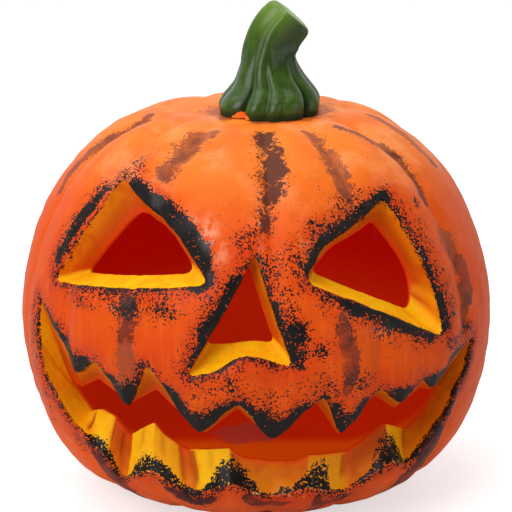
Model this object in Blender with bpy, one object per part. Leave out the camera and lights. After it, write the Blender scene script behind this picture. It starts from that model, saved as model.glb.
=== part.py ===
"""Carved pumpkin lantern: a hollow moulded foam pumpkin with a cut face, and a stem moulded apart.

The origin lies under the middle of the body, on the surface that the lantern stands on. +Z is up and
the face looks towards -Y. A place on the body is given by its bearing, in degrees from the front and
positive towards +X, and by its height, in millimetres.
"""
import math

import bpy
import numpy as np

MM = 0.001

# The body's skin, from the rim of its flat base up to the seat of the stem: radius, height
SKIN_PROFILE = (
    (38.0, 0.0), (53.0, 4.7), (66.2, 12.7), (75.0, 24.5), (80.3, 38.5), (82.9, 52.0), (83.5, 62.0),
    (82.7, 75.0), (79.3, 89.5), (72.3, 106.0), (61.3, 121.0), (48.6, 130.8), (36.0, 135.2), (26.5, 135.3),
)
SEAT_RADIUS = 25.0
SEAT_HEIGHT = 134.5
WALL = 14.0

# Grooves between the ribs, as bearings, and how deep they press into the skin
GROOVE_BEARINGS = (-148.0, -110.0, -76.0, -52.0, -29.0, 4.0, 30.0, 60.0, 104.0, 130.0, 155.0, 180.0)
GROOVE_DEPTH = 1.3
COLUMNS_PER_RIB = 6
SKIN_ROWS = 25
LINING_ROWS = 15
LINING_COLUMNS = 36

# Each cut runs from an outline on the skin to a smaller one on the lining, and a little past both
PAST_SKIN = 9.0
PAST_LINING = 5.0
CORNER_STEPS = 4
LIP_STEPS = 4

# Eyes and nose: the corners of an outline as (bearing, height, length rounded off each side)
LEFT_EYE_SKIN = ((-44.6, 119.6, 4.0), (-57.2, 83.3, 5.0), (-9.8, 92.2, 4.5), (-19.5, 113.6, 19.0))
LEFT_EYE_LINING = ((-42.5, 108.6, 6.0), (-58.5, 85.2, 5.0), (-17.2, 92.0, 6.0), (-26.0, 104.6, 10.0))
RIGHT_EYE_SKIN = (
    (40.6, 115.2, 5.0), (16.6, 102.6, 6.0), (10.6, 91.6, 5.0), (25.0, 86.0, 12.0), (50.8, 67.0, 4.0),
    (48.6, 88.0, 9.0),
)
RIGHT_EYE_LINING = (
    (42.6, 104.8, 4.0), (23.4, 97.4, 6.0), (16.0, 91.2, 5.0), (33.0, 82.6, 8.0), (49.4, 74.6, 5.0),
    (52.0, 88.0, 7.0),
)
NOSE_SKIN = ((-1.4, 102.0, 4.0), (-16.2, 60.9, 4.0), (-9.6, 62.8, 5.0), (-1.5, 70.6, 6.0), (8.4, 64.8, 4.0))
NOSE_LINING = ((-2.0, 93.6, 3.0), (-13.8, 69.0, 4.0), (-8.5, 69.2, 3.0), (-1.5, 70.6, 3.0), (4.8, 69.8, 3.0))

# Lips of the mouth, from its left corner to its right one: each turn of the edge, at a tooth's tip or
# between two teeth, as (bearing, height) on the skin and (bearing, height) on the lining
UPPER_LIP = (
    (-62.5, 77.0, -65.0, 46.5), (-54.0, 68.5, -62.8, 45.6), (-46.0, 57.6, -58.5, 45.8),
    (-40.8, 62.3, -48.5, 52.2), (-31.4, 49.6, -37.8, 44.4), (-25.2, 63.4, -27.2, 53.0),
    (-13.2, 42.4, -15.5, 36.5), (-4.0, 52.0, -5.0, 47.0), (4.3, 40.8, 4.8, 36.8),
    (14.9, 54.0, 15.6, 50.4), (21.0, 41.2, 25.0, 35.6), (30.4, 54.9, 33.0, 51.0),
    (36.2, 49.2, 42.6, 42.0), (42.8, 55.6, 52.6, 48.0), (46.6, 52.0, 58.6, 44.6),
    (56.0, 61.2, 64.6, 44.0), (65.4, 62.6, 67.6, 43.0),
)
LOWER_LIP = (
    (-62.5, 76.2, -65.0, 44.6), (-62.0, 60.0, -64.2, 43.6), (-58.0, 47.0, -62.6, 41.6),
    (-49.6, 34.0, -58.0, 37.2), (-44.8, 27.6, -49.6, 40.2), (-41.0, 17.4, -43.2, 32.4),
    (-29.6, 23.4, -31.8, 40.0), (-17.6, 17.0, -22.6, 31.4), (-6.8, 22.0, -11.0, 33.0),
    (3.8, 15.8, 1.5, 28.0), (13.5, 19.6, 18.2, 30.0), (26.5, 15.4, 32.2, 26.4),
    (39.0, 25.2, 43.8, 37.2), (45.4, 22.4, 55.4, 30.2), (54.4, 37.0, 63.0, 34.4),
    (61.5, 50.0, 66.6, 39.0), (65.4, 61.8, 67.8, 42.2),
)

# The stem: its foot's middle, and its path as (sideways, up, radius) from there
STEM_FOOT = (5.2, -1.0)
STEM_GAP = 0.3
STEM_PATH = (
    (0.0, 0.0, 17.6), (0.0, 3.0, 18.8), (0.0, 7.0, 17.0), (0.0, 11.5, 12.9), (0.0, 16.0, 10.5),
    (0.3, 21.0, 10.0), (1.8, 26.5, 10.0), (4.3, 31.6, 9.7), (6.6, 34.8, 9.2), (7.3, 35.6, 7.8),
)
STEM_LOBES = 11
LOBE_DEPTH_FOOT = 1.3
LOBE_DEPTH_NECK = 0.5
STEM_SIDES = 44
STEM_RINGS = 17

SHELL_COLOUR = (0.84, 0.20, 0.03, 1.0)
STEM_COLOUR = (0.07, 0.15, 0.03, 1.0)


def clear_scene():
    """Empties the scene of its objects."""
    for obj in list(bpy.data.objects):
        bpy.data.objects.remove(obj, do_unlink=True)


def smooth_curve(points, count):
    """Even steps along a smooth curve through the points: cubic pieces whose slopes are mean differences."""
    points = np.array(points, float)
    reach = np.concatenate([[0.0], np.cumsum(np.linalg.norm(np.diff(points, axis=0), axis=1))])
    slopes = np.gradient(points, reach, axis=0)
    at = np.linspace(0.0, reach[-1], count)
    piece = np.clip(np.searchsorted(reach, at, side="right") - 1, 0, len(points) - 2)
    span = (reach[piece + 1] - reach[piece])[:, None]
    u = (at[:, None] - reach[piece][:, None]) / span
    return (
        (2 * u**3 - 3 * u**2 + 1) * points[piece] + (u**3 - 2 * u**2 + u) * span * slopes[piece]
        + (3 * u**2 - 2 * u**3) * points[piece + 1] + (u**3 - u**2) * span * slopes[piece + 1]
    )


def inset_curve(curve, distance):
    """A (radius, height) curve moved inwards by a distance, along its own normals."""
    along = np.gradient(curve, axis=0)
    inward = np.stack([-along[:, 1], along[:, 0]], axis=1)
    return curve + distance * inward / np.linalg.norm(inward, axis=1)[:, None]


SKIN_CURVE = smooth_curve(SKIN_PROFILE, 241)
LINING_CURVE = inset_curve(SKIN_CURVE, WALL)


def on_curve(curve, bearing, height, further=0.0):
    """The point of a turned surface at a bearing and a height, moved straight out by a length."""
    rising = curve[: np.argmax(curve[:, 1])]
    radius = np.interp(height, rising[:, 1], rising[:, 0]) + further
    angle = np.radians(bearing)
    return np.stack([radius * np.sin(angle), -radius * np.cos(angle), height + 0.0 * radius], axis=-1)


def groove_columns():
    """Bearings of the skin's columns, each rib in equal steps, and how far each stands from its groove."""
    grooves = np.array(GROOVE_BEARINGS)
    following = np.append(grooves[1:], grooves[0] + 360.0)
    step = np.arange(COLUMNS_PER_RIB) / COLUMNS_PER_RIB
    bearings = (grooves[:, None] + (following - grooves)[:, None] * step).ravel()
    return bearings, np.tile(step, len(grooves))


def rib_relief(step, radius):
    """How deep a rib's cross-section lies under its crest: a root of a sine, fading at the seat and base."""
    fade = np.clip((radius - SEAT_RADIUS) / 25.0, 0.0, 1.0)
    return GROOVE_DEPTH * (1.0 - np.sqrt(np.sin(np.pi * step))) * fade


def make_mesh_object(name, vertices, faces):
    """A new object from millimetre vertices and faces."""
    mesh = bpy.data.meshes.new(name)
    mesh.from_pydata((np.asarray(vertices) * MM).tolist(), [], faces)
    mesh.validate()
    obj = bpy.data.objects.new(name, mesh)
    bpy.context.scene.collection.objects.link(obj)
    return obj


def ring_faces(rows, columns):
    """Quads between neighbouring rings of a stack, all facing out."""
    return [
        (i * columns + j, i * columns + (j + 1) % columns,
         (i + 1) * columns + (j + 1) % columns, (i + 1) * columns + j)
        for i in range(rows - 1) for j in range(columns)
    ]


def fan_closed(name, rings, bottom, top):
    """A closed body from rings of points stacked upwards, with a fan to a middle point at each end."""
    rows, columns = rings.shape[:2]
    vertices = np.concatenate([rings.reshape(-1, 3), [bottom, top]])
    low, high = rows * columns, rows * columns + 1
    first_high = low - columns
    faces = ring_faces(rows, columns)
    for j in range(columns):
        k = (j + 1) % columns
        faces += [(k, j, low), (first_high + j, first_high + k, high)]
    return make_mesh_object(name, vertices, faces)


def fold_closed(name, rings):
    """A closed body from stacked rings, each end closed by strips between the two halves of its ring."""
    rows, columns = rings.shape[:2]
    faces = ring_faces(rows, columns)
    first_high = (rows - 1) * columns
    for j in range(columns // 2 - 1):
        k = columns - 1 - j
        faces += [(j + 1, j, k, k - 1), (first_high + j, first_high + j + 1, first_high + k - 1, first_high + k)]
    return make_mesh_object(name, rings.reshape(-1, 3), faces)


def make_skin():
    """The whole body, solid: ribbed rings from the flat base to the seat of the stem."""
    curve = smooth_curve(SKIN_PROFILE, SKIN_ROWS)
    bearings, step = groove_columns()
    depth = rib_relief(step[None, :], curve[:, :1])
    radius = curve[:, :1] - depth
    radius[0] = SKIN_PROFILE[0][0]
    angle = np.radians(bearings)[None, :]
    rings = np.stack([radius * np.sin(angle), -radius * np.cos(angle), curve[:, 1:] + 0.0 * angle], axis=-1)
    seat = np.stack(
        [SEAT_RADIUS * np.sin(angle), -SEAT_RADIUS * np.cos(angle), SEAT_HEIGHT + 0.0 * angle], axis=-1
    )
    rings = np.concatenate([rings, seat])
    return fan_closed("pumpkin_shell", rings, (0.0, 0.0, 0.0), (0.0, 0.0, SEAT_HEIGHT))


def make_lining():
    """The hollow, as a solid to cut away: plain rings one wall thickness inside the skin."""
    curve = LINING_CURVE[np.linspace(0, len(LINING_CURVE) - 1, LINING_ROWS).astype(int)]
    angle = np.radians(np.arange(LINING_COLUMNS) * 360.0 / LINING_COLUMNS)[None, :]
    rings = np.stack(
        [curve[:, :1] * np.sin(angle), -curve[:, :1] * np.cos(angle), curve[:, 1:] + 0.0 * angle], axis=-1
    )
    return fan_closed("hollow_cutter", rings, (0.0, 0.0, curve[0, 1]), (0.0, 0.0, curve[-1, 1]))


def round_corners(corners):
    """A closed outline of (bearing, height) points: each corner becomes a quadratic curve between its sides."""
    degree = math.radians(1.0) * SKIN_PROFILE[6][0]
    flat = np.array([(bearing * degree, height) for bearing, height, _ in corners])
    outline = []
    for i, (_, _, cut) in enumerate(corners):
        corner, before, after = flat[i], flat[i - 1], flat[(i + 1) % len(flat)]
        start = corner + cut * (before - corner) / np.linalg.norm(before - corner)
        end = corner + cut * (after - corner) / np.linalg.norm(after - corner)
        for t in np.linspace(0.0, 1.0, CORNER_STEPS):
            outline.append((1 - t) ** 2 * start + 2 * t * (1 - t) * corner + t**2 * end)
    outline = np.array(outline)
    outline[:, 0] /= degree
    return outline


def cut_layers(skin_outline, lining_outline):
    """The four loops of a cut: past the skin, on the skin, on the lining and past the lining."""
    return np.stack([
        on_curve(SKIN_CURVE, *skin_outline.T, further=PAST_SKIN),
        on_curve(SKIN_CURVE, *skin_outline.T),
        on_curve(LINING_CURVE, *lining_outline.T),
        on_curve(LINING_CURVE, *lining_outline.T, further=-PAST_LINING),
    ])


def make_hole_cutter(name, skin_corners, lining_corners):
    """A plug with rounded corners, whose ends are fans round the middle of their loops."""
    layers = cut_layers(round_corners(skin_corners), round_corners(lining_corners))
    return fan_closed(name, layers[::-1], layers[-1].mean(axis=0), layers[0].mean(axis=0))


def lip_line(lip, bearings):
    """Skin height, lining bearing and lining height of a lip at skin bearings, level at every turn."""
    turns = np.array(lip)
    piece = np.clip(np.searchsorted(turns[:, 0], bearings, side="right") - 1, 0, len(turns) - 2)
    u = (bearings - turns[piece, 0]) / (turns[piece + 1, 0] - turns[piece, 0])
    ease = (u * u * (3.0 - 2.0 * u))[:, None]
    eased = turns[piece, 1:] * (1.0 - ease) + turns[piece + 1, 1:] * ease
    eased[:, 1] = np.interp(bearings, turns[:, 0], turns[:, 2])
    return eased


def lip_bearings():
    """Every turn of both lips and equal steps between them, without steps too short to matter."""
    steps = []
    for lip in (UPPER_LIP, LOWER_LIP):
        turns = np.array(lip)[:, 0]
        for start, end in zip(turns[:-1], turns[1:]):
            steps += list(np.linspace(start, end, LIP_STEPS, endpoint=False))
    steps = np.array(sorted(steps) + [UPPER_LIP[-1][0]])
    return steps[np.append(True, np.diff(steps) > 0.3)]


def make_mouth_cutter():
    """The mouth as one plug: at each bearing a loop of eight points through both lips and four layers."""
    bearings = lip_bearings()
    sides = []
    for lip in (UPPER_LIP, LOWER_LIP):
        line = lip_line(lip, bearings)
        sides.append(cut_layers(np.stack([bearings, line[:, 0]], axis=1), line[:, 1:]))
    loops = np.concatenate([sides[0], sides[1][::-1]]).transpose(1, 0, 2)
    return fold_closed("mouth_cutter", loops[::-1])


def cut_away(body, cutter):
    """Takes a cutter's shape out of a body, and keeps the cutter as a hidden guide."""
    cutter.hide_render = True
    cutter.display_type = "WIRE"
    modifier = body.modifiers.new(cutter.name, "BOOLEAN")
    modifier.operation = "DIFFERENCE"
    modifier.solver = "EXACT"
    modifier.object = cutter


def make_stem():
    """The stem: lobed rings swept along a path that leans over to +X, each ring square to the path."""
    path = smooth_curve(STEM_PATH, STEM_RINGS)
    along = np.gradient(path[:, :2], axis=0)
    lean = np.arctan2(along[:, 0], along[:, 1])
    lean[0] = 0.0
    lean[-2:] = lean[-3]
    turn = np.arange(STEM_SIDES) * 2.0 * np.pi / STEM_SIDES
    flare = np.clip((path[:, 2] - 9.7) / 8.0, 0.0, 1.0)
    lobe = LOBE_DEPTH_NECK + (LOBE_DEPTH_FOOT - LOBE_DEPTH_NECK) * flare
    radius = path[:, 2, None] - lobe[:, None] * (0.5 - 0.5 * np.cos(STEM_LOBES * turn))[None, :]
    side = radius * np.sin(turn)
    rings = np.stack([
        STEM_FOOT[0] + path[:, 0, None] + side * np.cos(lean)[:, None],
        STEM_FOOT[1] - radius * np.cos(turn),
        SEAT_HEIGHT + STEM_GAP + path[:, 1, None] - side * np.sin(lean)[:, None],
    ], axis=-1)
    top = rings[-1].mean(axis=0)
    return fan_closed("stem", rings, (*STEM_FOOT, SEAT_HEIGHT + STEM_GAP), tuple(top))


def finish(obj, colour, roughness):
    """Smooth shading with sharp cut edges, and the object's own material."""
    obj.data.shade_smooth()
    obj.data.set_sharp_from_angle(angle=math.radians(40.0))
    material = bpy.data.materials.new(obj.name)
    material.use_nodes = True
    shader = material.node_tree.nodes["Principled BSDF"]
    shader.inputs["Base Color"].default_value = colour
    shader.inputs["Roughness"].default_value = roughness
    shader.inputs["Metallic"].default_value = 0.0
    obj.data.materials.append(material)


def main():
    """Builds the shell with its cuts, then the stem on its seat."""
    clear_scene()
    shell = make_skin()
    cut_away(shell, make_lining())
    cut_away(shell, make_hole_cutter("left_eye_cutter", LEFT_EYE_SKIN, LEFT_EYE_LINING))
    cut_away(shell, make_hole_cutter("right_eye_cutter", RIGHT_EYE_SKIN, RIGHT_EYE_LINING))
    cut_away(shell, make_hole_cutter("nose_cutter", NOSE_SKIN, NOSE_LINING))
    cut_away(shell, make_mouth_cutter())
    finish(shell, SHELL_COLOUR, 0.5)
    finish(make_stem(), STEM_COLOUR, 0.25)


main()
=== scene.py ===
"""Looks of the carved pumpkin lantern: a painted foam shell with a cut face, and its glossy stem.

Lengths are in millimetres until a mesh is made. A place on the shell is a bearing, in degrees from
the front and positive towards +X, and a height over the base or an arc, the way up along the skin's
profile from the rim of the base.
"""

import math

import bpy
import numpy as np
from mathutils.geometry import delaunay_2d_cdt
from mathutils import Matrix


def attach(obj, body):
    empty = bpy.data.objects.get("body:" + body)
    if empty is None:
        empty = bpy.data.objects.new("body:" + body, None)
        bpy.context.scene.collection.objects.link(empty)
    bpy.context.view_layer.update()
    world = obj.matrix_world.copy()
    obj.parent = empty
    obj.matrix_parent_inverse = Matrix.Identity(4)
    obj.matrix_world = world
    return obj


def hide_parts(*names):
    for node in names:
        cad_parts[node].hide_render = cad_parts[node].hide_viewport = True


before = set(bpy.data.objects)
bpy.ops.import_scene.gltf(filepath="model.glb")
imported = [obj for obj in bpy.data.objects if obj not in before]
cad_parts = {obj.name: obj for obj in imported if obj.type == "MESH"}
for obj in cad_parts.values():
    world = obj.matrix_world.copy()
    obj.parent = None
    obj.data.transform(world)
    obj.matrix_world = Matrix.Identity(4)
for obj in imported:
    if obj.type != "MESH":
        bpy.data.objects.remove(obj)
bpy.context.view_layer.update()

MM = 0.001

# ---- the shell's form --------------------------------------------------------------------------

# From the rim of the flat base up to the seat of the stem: radius, height
SKIN_PROFILE = (
    (38.0, 0.0), (53.0, 4.7), (66.2, 12.7), (75.0, 24.5), (80.3, 38.5), (82.9, 52.0), (83.5, 62.0),
    (82.7, 75.0), (79.3, 89.5), (72.3, 106.0), (61.3, 121.0), (48.6, 130.8), (36.0, 135.2), (26.5, 135.3),
)
SEAT_RADIUS, SEAT_HEIGHT = 25.0, 134.5  # the flat seat of the stem
WALL = 14.0
# Length of one degree of bearing at the widest height
DEGREE = math.radians(1.0) * max(radius for radius, _ in SKIN_PROFILE)

# Bearings of the grooves between the ribs
GROOVES = (-148.0, -110.0, -76.0, -52.0, -29.0, 4.0, 30.0, 60.0, 104.0, 130.0, 155.0, 180.0)
RIB_DEPTH = 1.7
CREASE_DEPTH, CREASE_WIDTH = 0.8, 3.0
SKIN_SINK = 0.3  # how far the whole skin lies under its profile, inside the solid's box
EDGE_STEP = 0.95  # between points along the edge of a cut
FILLET = 0.8  # radius that rounds the skin over into each cut
INNER_FILLET = 2.0  # and the lining
# Rows of points across a cut's wall, as shares of the way from the skin to the lining
ACROSS_WALL = np.concatenate([[0.03, 0.07, 0.12, 0.18], np.linspace(0.25, 0.95, 12)])
TURN_LENGTH = 9.0  # about how far one turn of a lip is from the next
STROKE_TOP = 135.2  # strokes stop at this height, just under the crown

# What the marks on the mesh say where there is no cut near and no paint
FAR_OUTSIDE, FAR_INSIDE = 60.0, -30.0
NO_SOOT, NO_STROKE = -0.6, -0.5

# Middles of the darker brown ring round the stem, the fresh orange in front of it and the pale pinkish
# patch on the hollow's floor, a painted reflection, in metres
RING_MIDDLE = (0.0043, -0.001, 0.1345)
FRESH_SPOT = (-0.0065, -0.0185, 0.135)
FLOOR_SHEEN_SPOT = (-0.003, 0.006, 0.0145)

# Eyes and nose: (bearing, height, length rounded off each side of the corner) on the skin and lining
LEFT_EYE = (
    ((-47.4, 121.4, 1.4), (-59.2, 85.0, 4.0), (-11.2, 93.2, 4.0), (-23.0, 110.6, 12.0)),
    ((-43.5, 108.6, 6.0), (-57.2, 85.9, 4.0), (-16.6, 92.6, 7.0), (-27.5, 104.0, 8.0)),
)
RIGHT_EYE = (
    ((41.5, 117.0, 3.5), (17.4, 104.8, 7.0), (12.0, 93.8, 5.0), (25.0, 86.8, 10.0), (50.3, 68.2, 4.0),
     (49.0, 88.0, 9.0)),
    ((42.2, 105.2, 3.0), (22.6, 99.4, 6.0), (15.6, 93.0, 4.0), (32.5, 84.0, 8.0), (47.2, 75.8, 5.0),
     (50.0, 88.0, 7.0)),
)
NOSE = (
    ((-0.2, 103.4, 3.0), (-16.2, 62.6, 3.5), (-9.4, 64.8, 5.0), (-3.0, 72.0, 6.0), (8.6, 66.4, 3.5)),
    ((-2.0, 95.4, 2.0), (-13.6, 71.0, 3.5), (-8.4, 71.2, 3.0), (-1.5, 72.6, 3.0), (4.8, 72.0, 2.5)),
)

# Lips of the mouth from the left corner to the right one. On the skin each turn of the edge, at a
# tooth's tip or between two teeth, is (bearing, height). On the lining a turn is (place, bearing,
# height), where the place counts along the skin's turns.
UPPER_LIP = (
    (-65.0, 77.0), (-56.2, 68.2), (-48.6, 56.2), (-41.0, 62.4), (-32.4, 48.2), (-26.2, 64.6),
    (-13.9, 41.6), (-4.0, 53.2), (3.8, 39.6), (16.0, 55.0), (21.3, 40.0), (30.4, 55.0), (37.4, 48.3),
    (42.8, 55.6), (47.2, 50.8), (55.0, 59.0), (65.4, 62.6),
)
UPPER_LINING = (
    (0.0, -66.4, 46.5), (1.0, -63.4, 45.6), (2.0, -58.5, 46.0), (3.0, -48.5, 52.2), (4.0, -36.4, 47.0),
    (5.0, -27.6, 53.8), (6.0, -14.6, 39.6), (7.0, -5.0, 49.6), (8.0, 4.2, 38.8), (9.0, 16.4, 50.8),
    (10.0, 23.8, 37.8), (11.0, 33.0, 51.0), (12.0, 42.2, 43.4), (13.0, 52.6, 48.0), (14.0, 58.6, 44.8),
    (15.0, 64.4, 44.0), (16.0, 67.6, 43.2),
)
LOWER_LIP = (
    (-65.0, 76.2), (-64.8, 62.0), (-61.0, 48.5), (-52.0, 34.0), (-45.0, 27.0), (-41.0, 17.2),
    (-29.6, 23.0), (-17.6, 16.8), (-6.8, 21.6), (3.8, 15.6), (13.5, 19.2), (26.5, 15.2), (39.0, 24.8),
    (45.4, 22.0), (54.4, 36.6), (61.5, 50.0), (65.4, 61.8),
)
LOWER_LINING = (
    (0.0, -66.4, 44.6), (1.0, -65.6, 43.6), (2.0, -63.2, 41.2), (3.0, -57.6, 37.4), (3.9, -50.4, 40.4),
    (4.25, -45.2, 39.6), (5.0, -40.8, 33.4), (6.0, -29.8, 41.2), (6.3, -27.4, 37.0), (7.0, -20.9, 32.4),
    (8.0, -7.6, 34.4), (8.3, -4.4, 31.0), (9.0, 4.0, 29.2), (9.7, 12.4, 28.6), (10.0, 15.8, 30.6),
    (11.0, 28.6, 30.0), (12.0, 40.4, 38.0), (13.0, 52.6, 31.8), (14.0, 60.6, 35.0), (15.0, 64.4, 40.0),
    (16.0, 67.8, 42.4),
)

# The paint on the lower lip's cut wall: place along the lip, brightness (0.5 yellow, 0 orange, and under
# -0.1 painted shade), and how far the black reaches into the wall
LOWER_WALL = (
    (0.0, 0.3, 0.8), (2.5, 0.36, 0.6), (3.3, 0.4, 0.6), (3.42, 0.5, 1.2), (3.6, 0.5, 3.0),
    (4.1, 0.5, 4.5), (4.32, 0.34, 3.8), (4.38, 0.0, 3.4), (4.5, -0.2, 3.0), (4.8, -0.25, 1.2),
    (5.0, -0.15, 0.5), (5.12, 0.0, 0.4), (5.17, 0.5, 0.5), (5.3, 0.5, 1.5), (5.45, 0.5, 4.0),
    (5.6, 0.52, 5.5), (5.97, 0.52, 5.5), (6.03, 0.3, 5.0), (6.46, 0.28, 4.2), (6.6, 0.27, 3.0),
    (6.76, 0.25, 2.0), (6.79, 0.0, 1.8), (7.09, 0.0, 0.5), (7.13, 0.52, 0.5), (7.3, 0.52, 1.0),
    (7.5, 0.5, 3.5), (7.7, 0.5, 6.5), (7.98, 0.5, 8.5), (8.03, 0.12, 8.5), (8.26, 0.1, 7.5),
    (8.57, 0.08, 5.0), (8.67, 0.08, 3.0), (8.76, 0.08, 0.8), (9.2, 0.06, 0.8), (9.3, 0.06, 2.5),
    (9.6, 0.06, 2.0), (9.9, 0.06, 4.0), (9.98, 0.06, 5.0), (10.03, 0.22, 5.5), (10.2, 0.22, 7.5),
    (10.44, 0.22, 9.5), (10.54, 0.22, 8.0), (10.59, 0.22, 0.7), (10.97, 0.22, 0.6), (11.03, -0.1, 0.5),
    (11.12, -0.3, 0.5), (11.5, -0.3, 1.5), (11.63, -0.3, 5.0), (11.74, -0.3, 7.5), (11.98, -0.3, 8.5),
    (12.03, 0.38, 8.5), (12.25, 0.38, 8.0), (12.56, 0.35, 4.5), (12.75, 0.32, 1.2), (12.88, 0.1, 1.5),
    (13.5, 0.12, 3.2), (14.5, 0.14, 2.6), (16.0, 0.24, 2.0),
)

# How the skin near the cuts is modelled and painted, place by place: bearing, height, how deep the
# skin rolls in at the edge, over what reach, then the black's start off the edge, the width where it is
# solid, and the width of the speckle
RIM_STATIONS = (
    (-47.6, 120, 0.6, 3, 0, 0.5, 7), (-37, 118, 1.8, 4.5, 0, 3.6, 3), (-27.6, 114, 2.4, 5, 0, 5.0, 3),
    (-20, 109, 2.6, 5.5, 0, 5.8, 3), (-14.5, 103, 2.4, 5.5, 0, 5.8, 4), (-9.5, 96, 1.6, 4, 0, 2.9, 4),
    (-49.5, 113, 0.6, 3, 2.4, 2.4, 5.5), (-53, 105, 0.6, 3, 2.4, 3.4, 5.5),
    (-56.5, 95, 0.6, 3, 2.4, 2.2, 7), (-58, 85, 0.6, 3, 0, 0.4, 5), (-48, 84.5, 0.8, 3, 0, 1.0, 4.5),
    (-34, 87, 1, 3.5, 0, 1.4, 6), (-20, 89.5, 1, 3.5, 0, 1.1, 5), (-10, 91, 1, 3, 0, 1.8, 3.5),
    (-2, 101.5, 0.8, 3, 0, 0.7, 3), (-6, 90, 1.2, 3.5, 0, 2.9, 6), (-9.5, 80, 1.2, 3.5, 0, 3.2, 8),
    (-14, 70, 1, 3, 0, 1.6, 8), (-16, 62, 0.8, 3, 0, 0.4, 4), (-8, 61, 1, 3, 0, 0.6, 4.5),
    (-1.5, 68.5, 1, 3, 0, 0.6, 4), (7.5, 64, 0.8, 3, 0, 0.1, 3), (7.4, 72, 1.2, 3.5, 0, 2.2, 6),
    (5, 83, 1.2, 3.5, 0, 1.6, 8), (2, 94, 1, 3, 0, 0.9, 8), (41, 117.5, 1.2, 4, 0, 2.0, 4),
    (30, 112, 2.4, 5, 0, 3.0, 7), (20, 107, 2.6, 5, 0, 2.7, 9), (13.5, 100, 2.2, 4.5, 0, 2.0, 9),
    (11, 93, 1.4, 4, 0, 1.0, 7), (16, 89, 1.2, 4, 0.8, 1.2, 7), (24, 85, 1.2, 4, 1.0, 2.8, 8),
    (32, 79, 1.2, 4, 0.6, 3.0, 7), (42, 72, 1.2, 4, 0, 2.8, 5), (50, 66, 0.8, 3, 0, 0.9, 3),
    (51.5, 76, 1, 3, 0, 2.0, 6), (50, 90, 1.2, 3.5, 0, 1.2, 9), (46.5, 104, 1.4, 3.5, 0, 1.4, 8),
    (44, 113, 1.2, 3.5, 0, 1.2, 6), (-64.5, 77, 0.6, 3, 0, 0.2, 5), (-57, 70, 1.2, 4, 0, 2.6, 4),
    (-49.5, 62, 2, 5, 0, 4.3, 5), (-44, 59.5, 2.4, 5, 0, 2.9, 3), (-40.8, 62.5, 1.4, 4, 0, 0.7, 3),
    (-34, 54, 2.8, 5, 0, 3.2, 3), (-31, 50.5, 3, 6, 0, 6.5, 2.5), (-27.5, 58, 2, 4.5, 0, 1.2, 3),
    (-24.5, 64, 1.2, 3.5, 0, 0.6, 3), (-19.5, 54, 2.6, 5, 0, 3.6, 8), (-13.2, 43.5, 3.2, 6.5, 0, 5.8, 8),
    (-8.5, 48, 2.4, 5, 0, 3.6, 9), (-4, 52.5, 1.8, 4, 0, 1.7, 9), (0.5, 46, 2.6, 5.5, 0, 4.0, 9),
    (4.3, 42, 3.2, 6.5, 0, 5.8, 8), (9.5, 47.5, 2.6, 5, 0, 3.6, 7), (14.9, 54.5, 1.4, 4, 0, 1.0, 7),
    (18.5, 47.5, 2.4, 5, 0, 2.5, 7), (21, 42.4, 3, 6, 0, 4.3, 5), (25.5, 48.5, 2.2, 5, 0, 3.2, 3.5),
    (30, 55.2, 1.4, 4, 0, 0.7, 3), (36.2, 50, 2.2, 5, 0, 4.0, 2.5), (42.5, 56, 1.4, 4, 0, 0.9, 2.5),
    (46.6, 52.8, 2, 5, 0, 3.6, 3), (55, 61, 1.4, 4, 0, 2.5, 4), (64, 64.5, 0.8, 3, 0, 0.7, 5),
    (-66, 62, 0.5, 3, 0, 0.7, 5), (-63, 46, 0.5, 3, 0, 0.5, 5), (-54, 33, 0.5, 3, 0, 0.2, 4),
    (-45, 26.5, 0.8, 3, 0, 0.7, 3), (-41, 16.6, 0.8, 3, 0, 0.2, 4), (-35, 19.5, 0.8, 3, 0, 0.1, 2.5),
    (-29.6, 22.4, 1, 3, 0, 0.3, 2.5), (-24, 19.3, 0.8, 3, 0, 0.6, 4), (-17.6, 16.2, 0.8, 3, 0, 1.2, 4),
    (-12, 19, 0.8, 3, 0, 0.8, 3), (-6.8, 21, 1, 3, 0, 0.4, 2.5), (-1, 17.6, 0.8, 3, 0, 0.6, 3),
    (3.8, 15, 0.8, 3, 0, 0.3, 3), (13.5, 18.6, 0.8, 3, 0, 0.4, 2.5), (19.5, 16.8, 0.8, 3, 0, 0.5, 3),
    (26.5, 14.6, 0.8, 3, 0, 0.4, 3), (32.5, 19, 0.8, 3, 0, 0.3, 2.5), (39, 24.2, 0.8, 3, 0, 0.6, 2.5),
    (45.6, 21.4, 0.8, 3, 0, 0.8, 3), (50.5, 28.4, 0.8, 3, 0, 1.2, 5), (54.6, 35.8, 0.8, 3, 0, 1.5, 5),
    (61, 48.5, 0.6, 3, 0, 1.2, 4), (65, 60, 0.6, 3, 0, 0.8, 4),
)

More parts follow.
